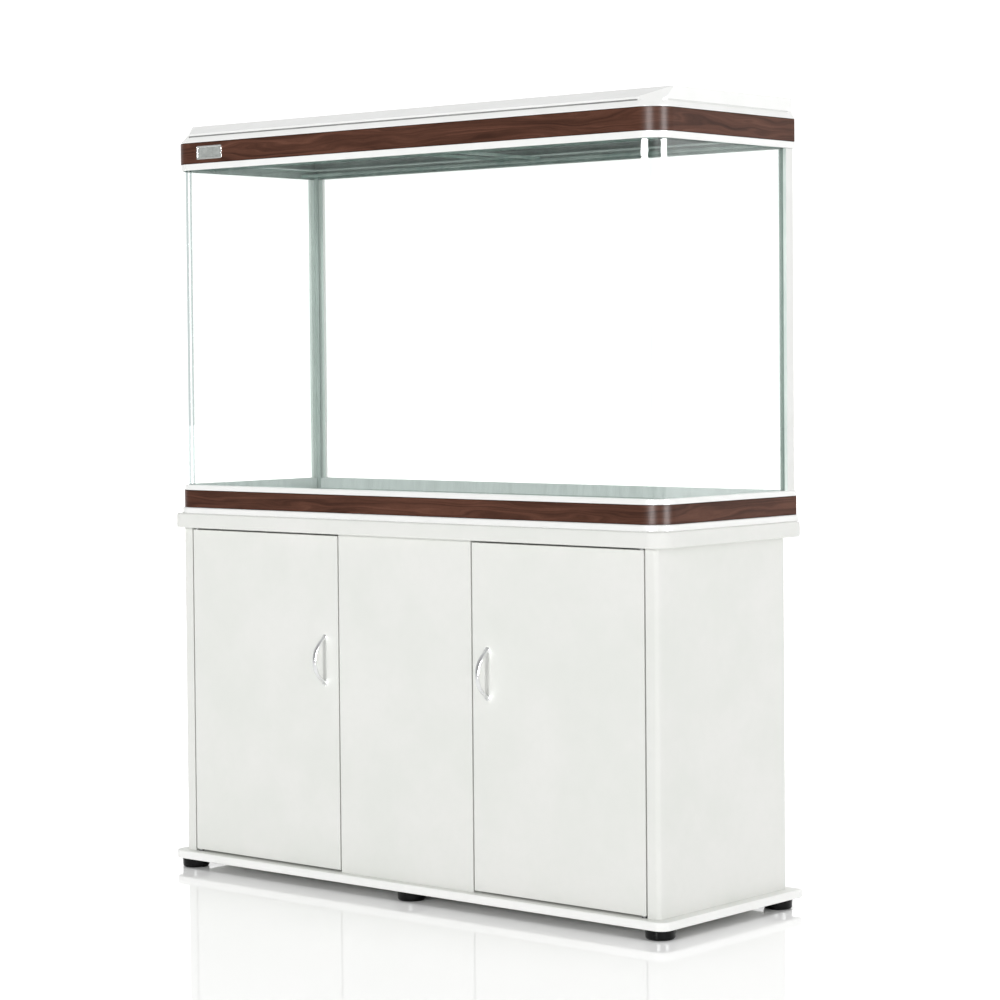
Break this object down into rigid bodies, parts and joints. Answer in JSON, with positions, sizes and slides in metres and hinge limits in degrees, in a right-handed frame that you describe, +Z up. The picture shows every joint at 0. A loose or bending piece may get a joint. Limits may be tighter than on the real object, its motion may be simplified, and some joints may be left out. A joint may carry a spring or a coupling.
{
  "type": "aquarium on stand",
  "caption": "Tall glass aquarium with rounded front corners, a lift-off lighted hood and a cabinet stand with hinged doors.",
  "frame": {"origin": "on the floor under the centre of the whole object's box", "axes": "+X to the right as seen from the front, +Y from front to back, +Z up"},
  "size_m": [1.218, 0.426, 1.459],
  "materials": {
    "white_board": "white satin laminate on particle board",
    "white_plastic": "gloss moulded, white",
    "walnut_foil": "dark walnut foil, satin",
    "tank_glass": "clear float glass with green edges",
    "silicone": "translucent silicone",
    "chrome": "bright plated",
    "zinc_steel": "zinc plated",
    "black_plastic": "gloss black",
    "nylon": "pale grey moulded",
    "beech": "plain beech",
    "plate_metal": "satin, blank",
    "lamp_enamel": "white enamel",
    "reflector": "bright rolled sheet",
    "lamp_tube": "white coated inside",
    "clear_acrylic": "clear sheet"
  },
  "bodies": {
    "cabinet": {"base_plate": "white_board", "left_side": "white_board", "right_side": "white_board", "left_partition": "white_board", "right_partition": "white_board", "back_panel": "white_board", "centre_panel": "white_board", "left_shelf": "white_board", "top_plate": "white_board", "feet": "black_plastic", "foot_screws": "zinc_steel", "base_screws": "zinc_steel", "back_screws": "zinc_steel", "shelf_pins": "zinc_steel", "top_dowels": "beech", "pivot_bushes": "nylon", "magnet_catches": "nylon", "tank_base_frame": "white_plastic", "base_wood_band": "walnut_foil", "bent_front_glass": "tank_glass", "rear_glass": "tank_glass", "bottom_glass": "tank_glass", "silicone_seams": "silicone", "front_brace": "tank_glass", "rear_brace": "tank_glass", "cross_brace": "tank_glass", "left_corner_trim": "white_plastic", "right_corner_trim": "white_plastic"},
    "hood": {"hood_frame": "white_plastic", "hood_wood_band": "walnut_foil", "hood_nameplate": "plate_metal", "hood_cover": "white_plastic", "cover_screws": "zinc_steel", "lamp_brackets": "zinc_steel", "lamp_housing": "lamp_enamel", "lamp_reflector": "reflector", "lamp_tubes": "lamp_tube", "lamp_holders": "nylon", "lamp_cover": "clear_acrylic", "lamp_ballast": "lamp_enamel", "cable_gland": "nylon", "lid_hinge_pins": "zinc_steel"},
    "feeding_lid": {"feeding_lid": "white_plastic"},
    "left_door": {"left_door": "white_board", "left_handle": "chrome", "left_handle_screws": "zinc_steel", "left_door_pivots": "zinc_steel", "left_strike": "zinc_steel"},
    "right_door": {"right_door": "white_board", "right_handle": "chrome", "right_handle_screws": "zinc_steel", "right_door_pivots": "zinc_steel", "right_strike": "zinc_steel"}
  },
  "joints": [
    {"name": "hood_lift", "type": "slide", "parent": "cabinet", "child": "hood", "axis": [0, 0, 1], "range_m": [0, 0.25]},
    {"name": "lid_hinge", "type": "hinge", "parent": "hood", "child": "feeding_lid", "pos_m": [0, 0.0345, 1.4556], "axis": [-1, 0, 0], "range_deg": [0, 100]},
    {"name": "left_door_hinge", "type": "hinge", "parent": "cabinet", "child": "left_door", "pos_m": [-0.551, -0.178, 0.3525], "axis": [0, 0, -1], "range_deg": [0, 105]},
    {"name": "right_door_hinge", "type": "hinge", "parent": "cabinet", "child": "right_door", "pos_m": [0.551, -0.178, 0.3525], "axis": [0, 0, 1], "range_deg": [0, 105]}
  ]
}
